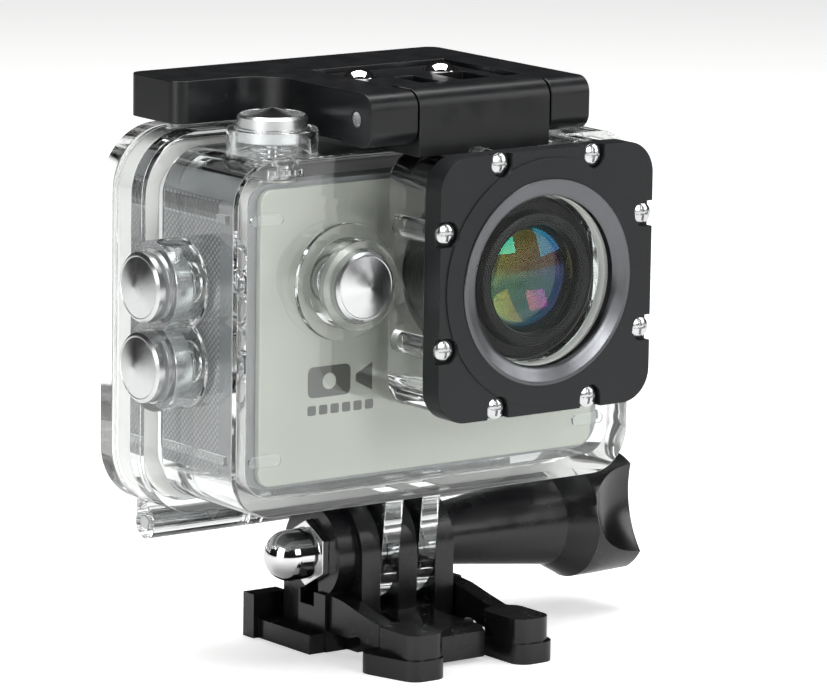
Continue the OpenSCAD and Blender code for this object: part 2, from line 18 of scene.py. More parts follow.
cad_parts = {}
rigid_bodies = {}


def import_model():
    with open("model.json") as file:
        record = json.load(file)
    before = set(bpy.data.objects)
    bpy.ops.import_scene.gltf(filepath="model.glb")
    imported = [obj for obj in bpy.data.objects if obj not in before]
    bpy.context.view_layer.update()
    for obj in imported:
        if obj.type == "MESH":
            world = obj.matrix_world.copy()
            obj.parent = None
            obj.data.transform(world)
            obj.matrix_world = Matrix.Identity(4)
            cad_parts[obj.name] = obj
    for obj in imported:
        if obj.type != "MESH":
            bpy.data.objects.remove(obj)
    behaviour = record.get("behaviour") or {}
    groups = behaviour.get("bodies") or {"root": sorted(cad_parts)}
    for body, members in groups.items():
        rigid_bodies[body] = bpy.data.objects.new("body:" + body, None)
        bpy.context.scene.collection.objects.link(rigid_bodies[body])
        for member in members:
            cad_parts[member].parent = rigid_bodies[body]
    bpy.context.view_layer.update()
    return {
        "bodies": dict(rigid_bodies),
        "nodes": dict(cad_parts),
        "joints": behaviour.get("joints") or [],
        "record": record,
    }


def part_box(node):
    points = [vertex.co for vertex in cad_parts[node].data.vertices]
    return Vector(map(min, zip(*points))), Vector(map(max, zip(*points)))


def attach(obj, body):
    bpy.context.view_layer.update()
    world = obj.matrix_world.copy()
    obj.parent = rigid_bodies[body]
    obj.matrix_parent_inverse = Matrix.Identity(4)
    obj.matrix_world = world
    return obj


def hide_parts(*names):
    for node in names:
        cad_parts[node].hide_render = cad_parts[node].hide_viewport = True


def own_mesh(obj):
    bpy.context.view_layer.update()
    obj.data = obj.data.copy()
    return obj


LOG = logging.getLogger("action_camera")
MM = 0.001
READY: dict[str, bpy.types.Material] = {}
Profile = Sequence[tuple[float, float]]


class Axis(Enum):
    """The way a turned piece points, as the turn that carries +Z there."""

    FRONT = (math.pi / 2, 0.0, 0.0)
    UP = (0.0, 0.0, 0.0)
    LEFT = (0.0, -math.pi / 2, 0.0)
    RIGHT = (0.0, math.pi / 2, 0.0)

    def turn(self) -> Matrix:
        """The rotation as a 4 x 4 matrix."""
        return Euler(self.value).to_matrix().to_4x4()

    @property
    def tangent(self) -> str:
        """The letter of the axis that the brushed lines run round."""
        return {Axis.FRONT: "Y", Axis.UP: "Z"}.get(self, "X")


# ---------------------------------------------------------------- nodes and colours


def linear(code: str) -> tuple[float, float, float, float]:
    """Turns an sRGB hex colour into a linear one.

    Args:
        code: The colour as six hex digits, with or without a leading hash.

    Returns:
        Red, green, blue and an alpha of 1.
    """
    digits = code.lstrip("#")
    parts = [int(digits[i : i + 2], 16) / 255 for i in (0, 2, 4)]
    out = [c / 12.92 if c <= 0.04045 else ((c + 0.055) / 1.055) ** 2.4 for c in parts]
    return (out[0], out[1], out[2], 1.0)


def add(tree: bpy.types.NodeTree, kind: str, links: Optional[dict[Any, Any]] = None, **settings: Any):
    """Adds one node, sets it and feeds its inputs.

    Args:
        tree: The shader or geometry tree.
        kind: The node's type name.
        links: Socket name or number to a value, or to the output that feeds it.
        settings: The node's own properties.

    Returns:
        The new node.
    """
    made = tree.nodes.new(kind)
    for name, value in settings.items():
        setattr(made, name, value)
    for key, source in (links or {}).items():
        if isinstance(source, bpy.types.NodeSocket):
            tree.links.new(source, made.inputs[key])
        else:
            made.inputs[key].default_value = source
    return made


@dataclass(frozen=True)
class Grain:
    """Fine relief of a surface: its size across and its depth, in millimetres."""

    size: float
    depth: float
    detail: float = 2.0


@dataclass(frozen=True)
class Finish:
    """A surface as it is made: its colour, gloss, metal share and grain.

    The colour drifts a little over the patch size and the gloss over the grain, as on a real part.
    """

    name: str
    colour: str
    roughness: float
    metallic: float = 0.0
    ior: float = 1.5
    grain: Grain = Grain(0.25, 0.004)
    drift: float = 0.06
    patch: float = 9.0
    rough_spread: float = 0.06
    coat: float = 0.0
    coat_roughness: float = 0.1

    def material(self) -> bpy.types.Material:
        """Returns the material, making it the first time it is asked for."""
        if self.name in READY:
            return READY[self.name]
        made = READY[self.name] = bpy.data.materials.new(f"finish_{self.name}")
        made.use_nodes = True
        made.node_tree.nodes.clear()
        out = add(made.node_tree, "ShaderNodeOutputMaterial")
        made.node_tree.links.new(self.shader(made.node_tree), out.inputs["Surface"])
        return made

    def shader(self, tree: bpy.types.NodeTree) -> bpy.types.NodeSocket:
        """Builds the finish's nodes and returns the shader that ends them."""
        place = add(tree, "ShaderNodeTexCoord").outputs["Object"]
        normal = self.relief(tree, place)
        body = add(
            tree,
            "ShaderNodeBsdfPrincipled",
            {
                "Base Color": self.tint(tree, place),
                "Roughness": self.gloss(tree, place),
                "Metallic": self.metallic,
                "IOR": self.ior,
                "Coat Weight": self.coat,
                "Coat Roughness": self.coat_roughness,
                "Normal": normal,
            },
        )
        return body.outputs["BSDF"]

    def tint(self, tree: bpy.types.NodeTree, place: bpy.types.NodeSocket) -> bpy.types.NodeSocket:
        """The base colour with its slow drift."""
        cloud = add(tree, "ShaderNodeTexNoise", {"Vector": place, "Scale": 1 / (self.patch * MM)})
        ramp = add(
            tree,
            "ShaderNodeMapRange",
            {"Value": cloud.outputs["Fac"], "From Min": 0.3, "From Max": 0.7},
        )
        full = linear(self.colour)
        low = tuple(c * (1 - self.drift) for c in full[:3]) + (1.0,)
        high = tuple(min(1.0, c * (1 + self.drift)) for c in full[:3]) + (1.0,)
        mix = add(
            tree,
            "ShaderNodeMix",
            {0: ramp.outputs["Result"], 6: low, 7: high},
            data_type="RGBA",
        )
        return mix.outputs[2]

    def gloss(self, tree: bpy.types.NodeTree, place: bpy.types.NodeSocket) -> bpy.types.NodeSocket:
        """The roughness with its small spread."""
        cloud = add(
            tree, "ShaderNodeTexNoise", {"Vector": place, "Scale": 1 / (3 * MM), "Detail": 5.0}
        )
        span = self.rough_spread
        ramp = add(
            tree,
            "ShaderNodeMapRange",
            {
                "Value": cloud.outputs["Fac"],
                "From Min": 0.3,
                "From Max": 0.7,
                "To Min": max(0.0, self.roughness - span),
                "To Max": self.roughness + span,
            },
        )
        return ramp.outputs["Result"]

    def relief(self, tree: bpy.types.NodeTree, place: bpy.types.NodeSocket) -> bpy.types.NodeSocket:
        """The grain as a bump."""
        noise = add(
            tree,
            "ShaderNodeTexNoise",
            {"Vector": place, "Scale": 1 / (self.grain.size * MM), "Detail": self.grain.detail},
        )
        bump = add(
            tree,
            "ShaderNodeBump",
            {"Height": noise.outputs["Fac"], "Distance": self.grain.depth * MM, "Strength": 1.0},
        )
        return bump.outputs["Normal"]


@dataclass(frozen=True)
class ClearFinish(Finish):
    """Clear moulding or glass: bends light, mirrors at a slant and lets the lamps' light through."""

    lamp_share: float = 0.95
    film_nm: float = 0.0
    film_ior: float = 1.33

    def shader(self, tree: bpy.types.NodeTree) -> bpy.types.NodeSocket:
        """Glass for what is seen, and a clear pane for the lamps' shadow rays."""
        place = add(tree, "ShaderNodeTexCoord").outputs["Object"]
        body = add(
            tree,
            "ShaderNodeBsdfPrincipled",
            {
                "Base Color": linear(self.colour),
                "Roughness": self.roughness,
                "IOR": self.ior,
                "Transmission Weight": 1.0,
                "Thin Film Thickness": self.film_nm,
                "Thin Film IOR": self.film_ior,
                "Normal": self.relief(tree, place),
            },
        )
        pane = add(tree, "ShaderNodeBsdfTransparent", {"Color": (self.lamp_share,) * 3 + (1.0,)})
        ray = add(tree, "ShaderNodeLightPath")
        soft = add(
            tree,
            "ShaderNodeMath",
            {0: ray.outputs["Is Shadow Ray"], 1: ray.outputs["Is Diffuse Ray"]},
            operation="MAXIMUM",
        )
        mix = add(
            tree,
            "ShaderNodeMixShader",
            {0: soft.outputs[0], 1: body.outputs["BSDF"], 2: pane.outputs["BSDF"]},
        )
        return mix.outputs["Shader"]


@dataclass(frozen=True)
class FloorFinish(Finish):
    """The studio's paper floor, lifted to white where the camera looks straight at it."""

    lift: float = 0.45

    def shader(self, tree: bpy.types.NodeTree) -> bpy.types.NodeSocket:
        """The paper with the camera's lift added."""
        paper = super().shader(tree)
        ray = add(tree, "ShaderNodeLightPath")
        glow = add(
            tree, "ShaderNodeMath", {0: ray.outputs["Is Camera Ray"], 1: self.lift}, operation="MULTIPLY"
        )
        shine = add(tree, "ShaderNodeEmission", {"Strength": glow.outputs[0]})
        both = add(tree, "ShaderNodeAddShader", {0: paper, 1: shine.outputs[0]})
        return both.outputs[0]


@dataclass(frozen=True)
class SpunFinish(Finish):
    """Metal spun on a lathe: fine rings that stretch each highlight into a bow tie."""

    axis: str = "Z"
    stretch: float = 0.8
    pitch: float = 0.16

    def shader(self, tree: bpy.types.NodeTree) -> bpy.types.NodeSocket:
        """Stretched gloss round the axis over a fine noise grain."""
        place = add(tree, "ShaderNodeTexCoord").outputs["Object"]
        tangent = add(tree, "ShaderNodeTangent", direction_type="RADIAL", axis=self.axis)
        body = add(
            tree,
            "ShaderNodeBsdfPrincipled",
            {
                "Base Color": self.tint(tree, place),
                "Roughness": self.gloss(tree, place),
                "Metallic": 1.0,
                "Anisotropic": self.stretch,
                "Tangent": tangent.outputs["Tangent"],
                "Normal": self.relief(tree, place),
            },
        )
        return body.outputs["BSDF"]


@dataclass(frozen=True)
class WovenFinish(Finish):
    """Moulding with a pressed diamond pattern, its grooves darkened with painted shade below the paler raised
    squares.
    """

    pitch: float = 0.9
    depth: float = 0.05
    # Colour of the grooves: painted shade, darker where the relief sinks.
    groove_shade: str = "#4c4f52"

    def pattern(self, tree: bpy.types.NodeTree, place: bpy.types.NodeSocket) -> bpy.types.NodeSocket:
        """Height of the diamonds, from 0 at the bottom between squares to 1 on a square's top."""
        split = add(tree, "ShaderNodeSeparateXYZ", {"Vector": place})
        turn = math.pi / (self.pitch * MM)
        waves = []
        for sign in ("ADD", "SUBTRACT"):
            along = add(
                tree,
                "ShaderNodeMath",
                {0: split.outputs["Y"], 1: split.outputs["Z"]},
                operation=sign,
            )
            scaled = add(tree, "ShaderNodeMath", {0: along.outputs[0], 1: turn}, operation="MULTIPLY")
            wave = add(tree, "ShaderNodeMath", {0: scaled.outputs[0]}, operation="SINE")
            waves.append(add(tree, "ShaderNodeMath", {0: wave.outputs[0]}, operation="ABSOLUTE"))
        both = add(
            tree, "ShaderNodeMath", {0: waves[0].outputs[0], 1: waves[1].outputs[0]}, operation="MINIMUM"
        )
        ramp = add(tree, "ShaderNodeMapRange", {"Value": both.outputs[0], "From Min": 0.1, "From Max": 0.6})
        return ramp.outputs["Result"]

    def tint(self, tree: bpy.types.NodeTree, place: bpy.types.NodeSocket) -> bpy.types.NodeSocket:
        """Painted shade in the grooves between paler squares."""
        mix = add(
            tree,
            "ShaderNodeMix",
            {0: self.pattern(tree, place), 6: linear(self.groove_shade), 7: linear(self.colour)},
            data_type="RGBA",
        )
        return mix.outputs[2]

    def relief(self, tree: bpy.types.NodeTree, place: bpy.types.NodeSocket) -> bpy.types.NodeSocket:
        """The diamonds as a bump."""
        bump = add(
            tree,
            "ShaderNodeBump",
            {"Height": self.pattern(tree, place), "Distance": self.depth * MM, "Strength": 1.0},
        )
        return bump.outputs["Normal"]


# Injection-moulded polycarbonate, polished tool: water-clear, hard gloss, faint flow waves.
CLEAR = ClearFinish(
    "clear_polycarbonate", "#fbfdfd", 0.02, ior=1.58, grain=Grain(14.0, 0.02, 0.0), lamp_share=0.96
)
# Flat window of the lens port: float glass bloomed on both faces, so it mirrors as little as a low index.
WINDOW = ClearFinish("port_window_glass", "#f7fbf9", 0.0, ior=1.16, grain=Grain(30.0, 0.0), lamp_share=0.98)
# Ground lenses with an evaporated fluoride film, which turns the reflection green or magenta; the middle and
# rear lenses also carry painted colour.
FRONT_LENS = ClearFinish(
    "coated_front_lens", "#dcebe2", 0.0, ior=1.6, grain=Grain(30.0, 0.0), film_nm=384.0, film_ior=1.38
)
# Middle lens: the film gives a real magenta reflection, and its pink base colour is a painted reflection that
# tints the glass.
MIDDLE_LENS_PINK_REFLECTION = ClearFinish(
    "middle_lens_painted_pink", "#c89a9a", 0.0, ior=1.8, grain=Grain(30.0, 0.0), film_nm=290.0, film_ior=1.38
)
# Rear lens: its near-black base colour is painted shade, a dark pane for the dark inside of the lens.
REAR_LENS_DARK_SHADE = ClearFinish(
    "rear_lens_painted_shade", "#4a4250", 0.0, ior=1.6, grain=Grain(30.0, 0.0), film_nm=384.0, film_ior=1.38
)
# Injection-moulded black ABS with a fine spark-eroded texture: soft, wide highlights.
LATCH_ABS = Finish("satin_black_abs", "#101113", 0.33, ior=1.42, grain=Grain(0.3, 0.004), rough_spread=0.05)
# Glass-filled black nylon of the clamp: a little glossier, with faint flow marks.
BUCKLE_NYLON = Finish("black_nylon", "#0e0e10", 0.24, grain=Grain(0.5, 0.004), rough_spread=0.05)
# Bead-blasted aluminium, charcoal anodised: even satin, a neutral dark grey.
BEZEL = Finish(
    "charcoal_anodised", "#1d1e20", 0.36, metallic=0.1, ior=1.36, grain=Grain(0.3, 0.002), rough_spread=0.04
)
# Turned aluminium ring, grey anodised.
RING = Finish("grey_anodised", "#66676a", 0.32, metallic=1.0, grain=Grain(0.4, 0.001), drift=0.03)
# Barrel of the lens, deep black anodised so that it mirrors little light.
BLACK_METAL = Finish("black_anodised", "#060607", 0.42, ior=1.3, grain=Grain(0.6, 0.001), rough_spread=0.03)
# Nickel-chrome plate over steel: a clear mirror.
CHROME = Finish(
    "nickel_chrome", "#dcdcdd", 0.07, metallic=1.0, grain=Grain(2.0, 0.003), rough_spread=0.02, drift=0.02
)
# Zinc-plated steel: bright, a little milky.
ZINC = Finish("zinc_plate", "#c9cacb", 0.2, metallic=1.0, grain=Grain(0.3, 0.003), drift=0.04)
STAINLESS = Finish("drawn_stainless", "#b9babb", 0.24, metallic=1.0, grain=Grain(0.2, 0.002), drift=0.03)
# Camera front: aluminium sheet with a satin silver-green lacquer.
FACE_PAINT = Finish(
    "satin_silver_lacquer", "#abafa5", 0.34, metallic=0.3, grain=Grain(0.09, 0.0015), drift=0.02,
    rough_spread=0.03, coat=0.15, coat_roughness=0.2,
)
CASING = Finish("grey_camera_abs", "#7e8182", 0.45, grain=Grain(0.14, 0.006))
CAMERA_BACK = Finish("dark_camera_abs", "#2a2b2d", 0.42, grain=Grain(0.14, 0.006))
GRIP = WovenFinish("pressed_diamond_grip", "#9a9c9d", 0.5, grain=Grain(0.2, 0.004))
KNURL = Finish("grip_ridge_rubber", "#2b2c2e", 0.55, grain=Grain(0.12, 0.004))
# Printed ink, matt over the lacquer.
INK = Finish("grey_print", "#3f413c", 0.55, grain=Grain(0.08, 0.001), drift=0.03)
# Moulded silicone: soft white with a dull skin.
SILICONE = Finish("white_silicone", "#f1f1ee", 0.5, grain=Grain(0.4, 0.006), drift=0.02)
NITRILE = Finish("black_nitrile", "#17181a", 0.55, grain=Grain(0.2, 0.004))
SCREEN = Finish("screen_cover", "#0b0d10", 0.08, grain=Grain(6.0, 0.001), coat=0.6, rough_spread=0.02)
BOARD = Finish("solder_mask", "#1d5b37", 0.35, grain=Grain(0.5, 0.01))
PACKAGE = Finish("chip_package", "#1b1c1e", 0.5, grain=Grain(0.1, 0.003))
SLEEVE = Finish("battery_sleeve", "#23262a", 0.4, grain=Grain(0.6, 0.003))


def spun(axis: Axis) -> SpunFinish:
    """The bright spun aluminium of a button cap that points along axis."""
    return SpunFinish(
        f"spun_aluminium_{axis.tangent.lower()}", "#d3d4d5", 0.24, metallic=1.0,
        grain=Grain(0.35, 0.002), drift=0.02, rough_spread=0.04, axis=axis.tangent,
    )


# ---------------------------------------------------------------- meshes


def smooth_by_angle(mesh: bpy.types.Mesh, degrees: float = 32.0) -> None:
    """Shades a mesh smooth, with its edges above the angle kept sharp."""
    mesh.shade_smooth()
    mesh.set_sharp_from_angle(angle=math.radians(degrees))


def new_object(name: str, mesh: bpy.types.Mesh, finish: Finish) -> bpy.types.Object:
    """Puts a mesh in the scene as a piece at the origin, with its finish."""
    made = bpy.data.objects.new(name, mesh)
    bpy.context.scene.collection.objects.link(made)
    mesh.materials.clear()
    mesh.materials.append(finish.material())
    return made


def baked(piece: bpy.types.Object) -> None:
    """Turns a piece's modifiers into its mesh."""
    graph = bpy.context.evaluated_depsgraph_get()
    mesh = bpy.data.meshes.new_from_object(piece.evaluated_get(graph))
    piece.modifiers.clear()
    piece.data = mesh


def rounded_edges(piece: bpy.types.Object, width: float, segments: int = 2, degrees: float = 32.0) -> None:
    """Rounds the edges of a piece that are sharper than the angle.

    Args:
        piece: The piece, already at its place.
        width: Width of the rounding, in millimetres.
        segments: Steps across the rounding.
        degrees: Smallest angle of an edge that is rounded.
    """
    bevel = piece.modifiers.new("edges", "BEVEL")
    bevel.width = width * MM
    bevel.segments = segments
    bevel.limit_method = "ANGLE"
    bevel.angle_limit = math.radians(degrees)
    bevel.miter_outer = "MITER_ARC"
    bevel.use_clamp_overlap = True
    baked(piece)
    smooth_by_angle(piece.data)
    even = piece.modifiers.new("normals", "WEIGHTED_NORMAL")
    even.keep_sharp = True
    baked(piece)


@dataclass
class Bench:
    """Where pieces are made, dressed and hung on the frame's bodies."""

    frame: dict[str, Any]
    made: list[str] = field(default_factory=list)

    def body_of(self, node: str) -> str:
        """Name of the body that a CAD node belongs to."""
        bodies = self.frame["record"]["behaviour"]["bodies"]
        return next(name for name, nodes in bodies.items() if node in nodes)

    def span(self, node: str) -> tuple[Vector, Vector]:
        """Lowest and highest corner of a CAD node, in millimetres."""
        low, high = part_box(node)
        return Vector(low) / MM, Vector(high) / MM

    def dress(self, node: str, finish: Finish) -> None:
        """Gives a CAD node that keeps its own shape its finish."""
        thing = self.frame["nodes"][node]
        thing.data.materials.clear()
        thing.data.materials.append(finish.material())
        LOG.info("dressed %s", node)

    def stand_in(self, piece: bpy.types.Object, *nodes: str) -> bpy.types.Object:
        """Hangs a piece that stands for CAD nodes on their body."""
        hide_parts(*nodes)
        return self.hang(piece, nodes[0])

    def hang(self, piece: bpy.types.Object, node: str) -> bpy.types.Object:
        """Hangs an added piece on a CAD node's body."""
        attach(piece, self.body_of(node))
        self.made.append(piece.name)
        LOG.info("made %s", piece.name)
        return piece

    def copy_of(self, node: str, finish: Finish, width: float, segments: int = 2) -> bpy.types.Object:
        """A merged copy of a CAD node with rounded edges, standing for it.

        Args:
            node: The CAD node.
            finish: Its finish.
            width: Width of the rounding, in millimetres.
            segments: Steps across the rounding.

        Returns:
            The piece.
        """
        mesh = self.frame["nodes"][node].data.copy()
        work = bmesh.new()
        work.from_mesh(mesh)
        bmesh.ops.remove_doubles(work, verts=work.verts, dist=0.0008 * MM)
        bmesh.ops.dissolve_limit(
            work,
            angle_limit=math.radians(0.4),
            verts=work.verts,
            edges=work.edges,
            use_dissolve_boundaries=False,
        )
        work.to_mesh(mesh)
        work.free()
        piece = new_object(f"{node}_finished", mesh, finish)
        if width > 0:
            rounded_edges(piece, width, segments)
        else:
            smooth_by_angle(piece.data)
        return self.stand_in(piece, node)


def turned(
    name: str, profile: Profile, place: Vector, axis: Axis, finish: Finish, steps: int = 96
) -> bpy.types.Object:
    """Turns a closed profile about an axis, as a lathe does.

    Args:
        name: The piece's name.
        profile: Points as (radius, height along the axis), in millimetres, counter-clockwise when
            radius runs right and height runs up.
        place: Where height 0 lies, in millimetres.
        axis: The way that height runs.
        finish: The piece's finish.
        steps: Steps round the axis.

    Returns:
        The piece, at its place.
    """
    work = bmesh.new()
    rings = []
    for radius, height in profile:
        if radius < 1e-6:
            rings.append([work.verts.new((0, 0, height))])
            continue
        turns = [2 * math.pi * i / steps for i in range(steps)]
        rings.append([work.verts.new((radius * math.cos(t), radius * math.sin(t), height)) for t in turns])
    for here, there in zip(rings, rings[1:] + rings[:1]):
        for i in range(steps):
            j = (i + 1) % steps
            corners = [here[i % len(here)], here[j % len(here)], there[j % len(there)], there[i % len(there)]]
            unique = list(dict.fromkeys(corners))
            if len(unique) > 2:
                work.faces.new(unique)
    move = Matrix.Translation(place) @ axis.turn()
    bmesh.ops.transform(work, matrix=Matrix.Scale(MM, 4) @ move, verts=work.verts)
    bmesh.ops.recalc_face_normals(work, faces=work.faces)
    mesh = bpy.data.meshes.new(name)
    work.to_mesh(mesh)
    work.free()
    smooth_by_angle(mesh, 28.0)
    return new_object(name, mesh, finish)


def slab(name: str, outline: Profile, low: float, high: float, finish: Finish) -> bpy.types.Object:
    """A plate facing the front: an outline in X and Z between two planes along Y.

    Args:
        name: The piece's name.
        outline: Corners as (X, Z), in millimetres.
        low: Front plane.
        high: Back plane.
        finish: The piece's finish.

    Returns:
        The piece.
    """
    work = bmesh.new()
    front = [work.verts.new((x * MM, low * MM, z * MM)) for x, z in outline]
    back = [work.verts.new((x * MM, high * MM, z * MM)) for x, z in outline]
    work.faces.new(front)
    work.faces.new(back[::-1])
    for i in range(len(outline)):
        j = (i + 1) % len(outline)
        work.faces.new([front[j], front[i], back[i], back[j]])
    bmesh.ops.recalc_face_normals(work, faces=work.faces)
    mesh = bpy.data.meshes.new(name)
    work.to_mesh(mesh)
    work.free()
    return new_object(name, mesh, finish)


def round_box(
    width: float, height: float, radius: float, centre: tuple[float, float]
) -> list[tuple[float, float]]:
    """Corners of a rectangle with round corners, counter-clockwise, in millimetres."""
    points = []
    for corner in range(4):
        sx = 1 if corner in (0, 3) else -1
        sz = 1 if corner < 2 else -1
        for step in range(7):
            turn = math.pi / 2 * (corner + step / 6)
            points.append(
                (
                    centre[0] + sx * (width / 2 - radius) + radius * math.cos(turn),
                    centre[1] + sz * (height / 2 - radius) + radius * math.sin(turn),
                )
            )
    return points


def joined(name: str, pieces: Iterable[bpy.types.Object]) -> bpy.types.Object:
    """Joins pieces of one finish into the first one and gives it a name."""
    work = bmesh.new()
    every = list(pieces)
    for piece in every:
        work.from_mesh(piece.data)
    first = every[0]
    for face in work.faces:
        face.material_index = 0
    work.to_mesh(first.data)
    work.free()
    for piece in every[1:]:
        bpy.data.objects.remove(piece)
    first.name = name
    return first


# ---------------------------------------------------------------- geometry nodes


def grown(
    name: str,
    finish: Finish,
    inputs: dict[str, float],
    grow: Callable[[bpy.types.NodeTree, dict[str, bpy.types.NodeSocket]], bpy.types.NodeSocket],
    place: Matrix,
) -> bpy.types.Object:
    """Builds a Geometry Nodes tree, runs it once and keeps the result as a plain mesh.

    Args:
        name: The piece's name.
        finish: Its finish.
        inputs: Named sizes of the tree and their values.
        grow: Adds the nodes and returns the geometry.
        place: Where the result goes, in millimetres.

    Returns:
        The piece, at its place.
    """
    tree = bpy.data.node_groups.new(name, "GeometryNodeTree")
    for key in inputs:
        tree.interface.new_socket(key, in_out="INPUT", socket_type="NodeSocketFloat")
    tree.interface.new_socket("Geometry", in_out="OUTPUT", socket_type="NodeSocketGeometry")
    entry = add(tree, "NodeGroupInput")
    shape = grow(tree, {key: entry.outputs[key] for key in inputs})
    real = add(tree, "GeometryNodeRealizeInstances", {"Geometry": shape})
    painted = add(
        tree, "GeometryNodeSetMaterial", {"Geometry": real.outputs[0], "Material": finish.material()}
    )
    add(tree, "NodeGroupOutput", {"Geometry": painted.outputs[0]})
    mesh = bpy.data.meshes.new(name)
    piece = new_object(name, mesh, finish)
    run = piece.modifiers.new("grow", "NODES")
    run.node_group = tree
    for item in tree.interface.items_tree:
        if item.in_out == "INPUT" and item.name in inputs:
            run[item.identifier] = float(inputs[item.name])
    baked(piece)
    piece.data.materials.clear()
    piece.data.materials.append(finish.material())
    piece.data.transform(Matrix.Scale(MM, 4) @ place)
    smooth_by_angle(piece.data, 40.0)
    return piece


def grow_spring(tree: bpy.types.NodeTree, size: dict[str, bpy.types.NodeSocket]) -> bpy.types.NodeSocket:
    """A helix of round wire: Turns, Radius, Height and Wire."""
    path = add(
        tree,
        "GeometryNodeCurveSpiral",
        {
            "Resolution": 40,
            "Rotations": size["Turns"],
            "Start Radius": size["Radius"],
            "End Radius": size["Radius"],
            "Height": size["Height"],
        },
    )
    wire = add(tree, "GeometryNodeCurvePrimitiveCircle", {"Resolution": 10, "Radius": size["Wire"]})
    tube = add(
        tree,
        "GeometryNodeCurveToMesh",
        {"Curve": path.outputs["Curve"], "Profile Curve": wire.outputs["Curve"], "Fill Caps": True},
    )
    return tube.outputs["Mesh"]


def grow_ridges(tree: bpy.types.NodeTree, size: dict[str, bpy.types.NodeSocket]) -> bpy.types.NodeSocket:
    """A row of upright round ridges along X: Count, Pitch, Length and Radius."""
    step = add(tree, "ShaderNodeCombineXYZ", {"X": size["Pitch"]})
    row = add(tree, "GeometryNodeMeshLine", {"Count": size["Count"], "Offset": step.outputs[0]})
    ridge = add(
        tree,
        "GeometryNodeMeshCylinder",
        {"Vertices": 12, "Side Segments": 1, "Radius": size["Radius"], "Depth": size["Length"]},
    )
    many = add(
        tree,
        "GeometryNodeInstanceOnPoints",
        {"Points": row.outputs["Mesh"], "Instance": ridge.outputs["Mesh"]},
    )
    return many.outputs["Instances"]


def grow_rings(tree: bpy.types.NodeTree, size: dict[str, bpy.types.NodeSocket]) -> bpy.types.NodeSocket:
    """A stack of thin rings along Z, each a little narrower: Count, Pitch, Radius, Narrowing and Wire."""
    step = add(tree, "ShaderNodeCombineXYZ", {"Z": size["Pitch"]})
    row = add(tree, "GeometryNodeMeshLine", {"Count": size["Count"], "Offset": step.outputs[0]})
    circle = add(tree, "GeometryNodeCurvePrimitiveCircle", {"Resolution": 96, "Radius": 1.0})
    index = add(tree, "GeometryNodeInputIndex")
    shrink = add(
        tree, "ShaderNodeMath", {0: index.outputs[0], 1: size["Narrowing"]}, operation="MULTIPLY"
    )
    radius = add(tree, "ShaderNodeMath", {0: size["Radius"], 1: shrink.outputs[0]}, operation="SUBTRACT")
    scale = add(tree, "ShaderNodeCombineXYZ", {"X": radius.outputs[0], "Y": radius.outputs[0], "Z": 1.0})
    many = add(
        tree,
        "GeometryNodeInstanceOnPoints",
        {"Points": row.outputs["Mesh"], "Instance": circle.outputs["Curve"], "Scale": scale.outputs[0]},
    )
    curves = add(tree, "GeometryNodeRealizeInstances", {"Geometry": many.outputs["Instances"]})
    wire = add(tree, "GeometryNodeCurvePrimitiveCircle", {"Resolution": 8, "Radius": size["Wire"]})
    tube = add(
        tree,
        "GeometryNodeCurveToMesh",
        {"Curve": curves.outputs[0], "Profile Curve": wire.outputs["Curve"]},
    )
    return tube.outputs["Mesh"]


# ---------------------------------------------------------------- sub-assemblies


@dataclass
class Clamp:
    """The quick-release buckle, its spring arms, the nut and the thumb screw."""

    bench: Bench
    edge: float = 0.5
    knob_edge: float = 0.8

    def build(self) -> None:
        """Dresses the whole clamp."""
        self.bench.copy_of("buckle_base", BUCKLE_NYLON, self.edge, 3)
        self.bench.copy_of("clip_arm_left", BUCKLE_NYLON, self.edge, 3)
        self.bench.copy_of("clip_arm_right", BUCKLE_NYLON, self.edge, 3)
        self.bench.copy_of("acorn_nut", CHROME, 0.25, 2)
        self.bench.copy_of("screw_knob", BUCKLE_NYLON, self.knob_edge, 3)
        self.bench.dress("screw_stud", ZINC)


@dataclass
class Housing:
    """The clear shell and door, their seal and hinge pin, and the guide ribs inside."""

    bench: Bench
    edge: float = 0.3
    rib_heights: tuple[float, float] = (62.0, 29.6)
    rib_width: float = 1.2
    rib_gap: float = 0.06

    def build(self) -> None:
        """Makes the clear mouldings and what closes them."""
        self.bench.copy_of("housing_shell", CLEAR, self.edge, 2)
        self.bench.copy_of("rear_door", CLEAR, self.edge, 2)
        self.bench.copy_of("door_seal", SILICONE, 0.4, 3)
        self.bench.dress("hinge_pin", STAINLESS)
        self.bench.dress("button_orings", NITRILE)
        self.bench.dress("port_seal", SILICONE)
        self.guide_ribs()

    def guide_ribs(self) -> None:
        """Clear ribs in the gap between the camera and the shell, on both sides, with front tabs."""
        _, high = self.bench.span("camera_shell")
        face = self.bench.span("faceplate")[0].y
        inner = high.x + 0.85 - self.rib_gap
        ribs = []
        for side in (-1, 1):
            for height in self.rib_heights:
                half = self.rib_width / 2
                outline = [
                    (side * (high.x + 0.08), height - half),
                    (side * inner, height - half),
                    (side * inner, height + half),
                    (side * (high.x + 0.08), height + half),
                ]
                ribs.append(slab("rib", outline, face + 1.5, high.y, CLEAR))
                tab = round_box(5.2, 1.5, 0.7, (side * 27.2, height))
                ribs.append(slab("tab", tab, face - 0.42, face - 0.06, CLEAR))
        piece = joined("guide_ribs", ribs)
        self.bench.hang(piece, "housing_shell")


